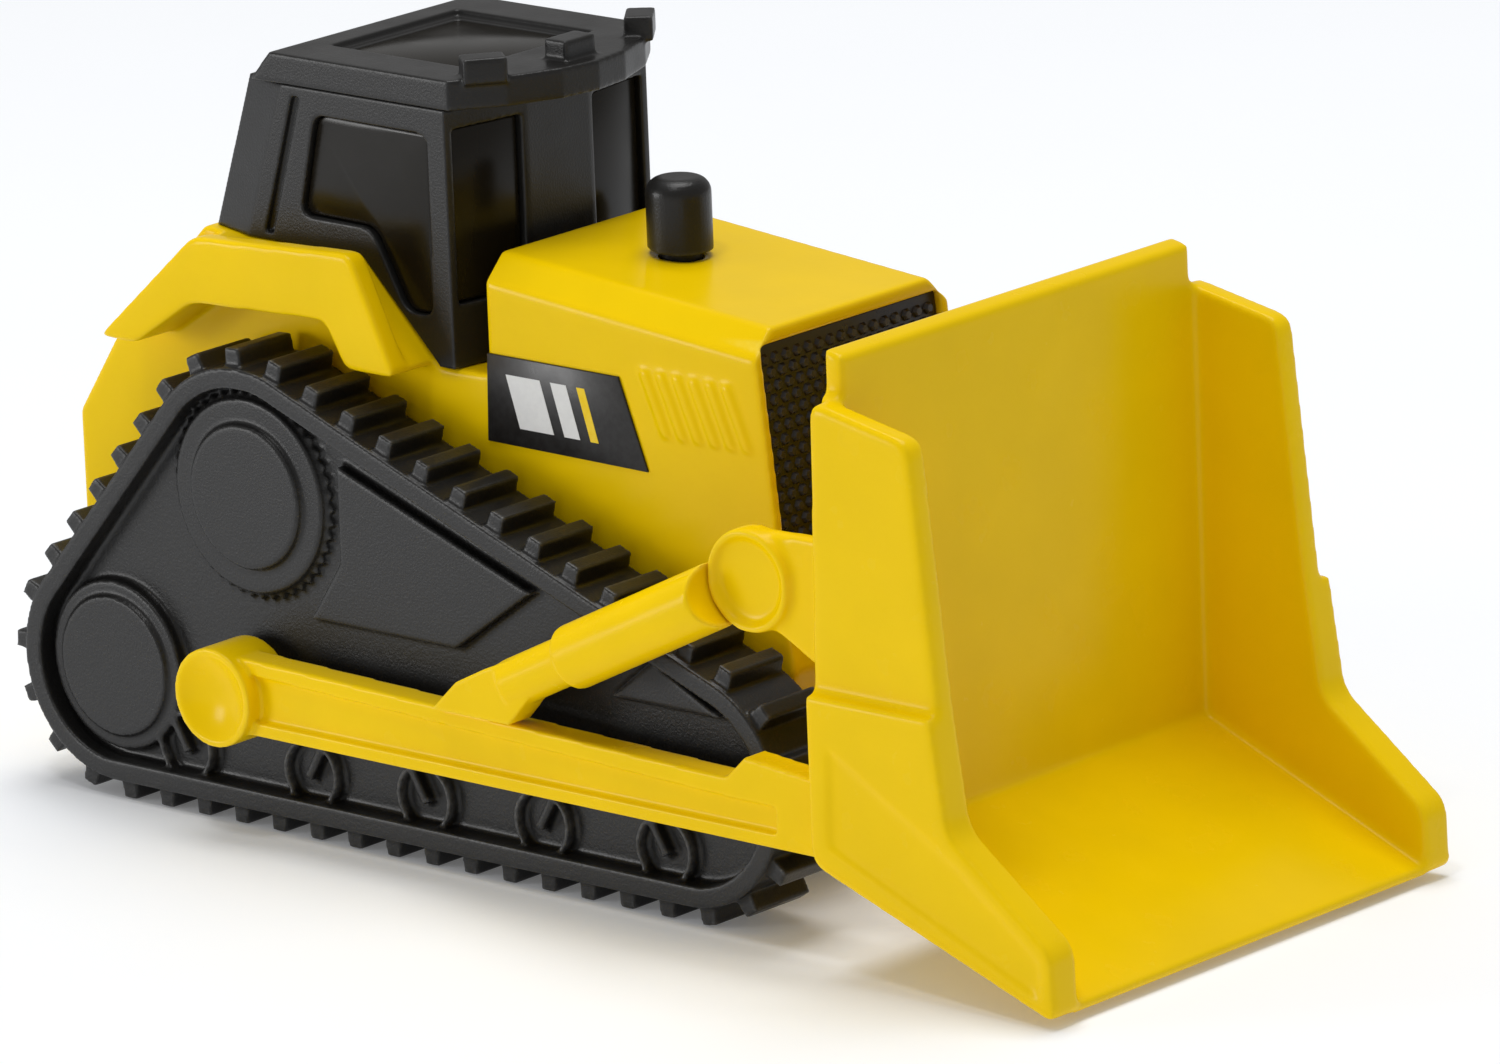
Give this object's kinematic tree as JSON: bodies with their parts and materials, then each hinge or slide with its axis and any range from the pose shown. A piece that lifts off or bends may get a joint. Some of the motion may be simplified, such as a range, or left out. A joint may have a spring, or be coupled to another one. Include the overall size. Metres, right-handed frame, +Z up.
{
  "type": "toy bulldozer",
  "caption": "Small toy bulldozer with a yellow body, black cab, moulded crawler tracks over hidden rolling wheels, and a blade on push arms that swing up and down",
  "frame": {"origin": "On the floor, under the middle of the toy's length and width, with the blade down", "axes": "+X forward to the blade, +Y to the left-hand track, +Z up"},
  "size_m": [0.0825, 0.0366, 0.0464],
  "materials": {
    "yellow_body": "glossy warm yellow enamel over a die-cast shell",
    "yellow_plastic": "glossy warm yellow moulded plastic",
    "black_plastic": "charcoal satin moulded plastic with a fine grain",
    "track_plastic": "charcoal satin moulded plastic with a fine grain",
    "dark_glazing": "glossy black moulded windows",
    "grille_black": "dark brown-black moulded grille with staggered hexagonal bumps",
    "label_black": null,
    "wheel_plastic": "plain black moulded plastic",
    "axle_steel": "plain drawn steel"
  },
  "bodies": {
    "chassis": {"body_shell": "yellow_body", "base_plate": "black_plastic", "cab_shell": "black_plastic", "cab_roof": "black_plastic", "cab_glazing": "dark_glazing", "exhaust_stack": "black_plastic", "radiator_grille": "grille_black", "track_frame_left": "track_plastic", "track_frame_right": "track_plastic", "screws": "axle_steel", "side_label_left": "label_black", "side_label_right": "label_black"},
    "blade_group": {"blade": "yellow_plastic", "push_arm_left": "yellow_plastic", "push_arm_right": "yellow_plastic", "lift_cylinder_left": "yellow_plastic", "lift_cylinder_right": "yellow_plastic"},
    "front_wheelset": {"front_axle": "axle_steel", "wheel_front_left": "wheel_plastic", "wheel_front_right": "wheel_plastic"},
    "rear_wheelset": {"rear_axle": "axle_steel", "wheel_rear_left": "wheel_plastic", "wheel_rear_right": "wheel_plastic"}
  },
  "joints": [
    {"name": "blade_lift", "type": "hinge", "parent": "chassis", "child": "blade_group", "pos_m": [-0.022, 0, 0.0087], "axis": [0, -1, 0], "range_deg": [0, 30]},
    {"name": "front_wheels_roll", "type": "hinge", "parent": "chassis", "child": "front_wheelset", "pos_m": [0.006, 0, 0.004], "axis": [0, 1, 0], "continuous": true},
    {"name": "rear_wheels_roll", "type": "hinge", "parent": "chassis", "child": "rear_wheelset", "pos_m": [-0.03, 0, 0.004], "axis": [0, 1, 0], "continuous": true}
  ]
}
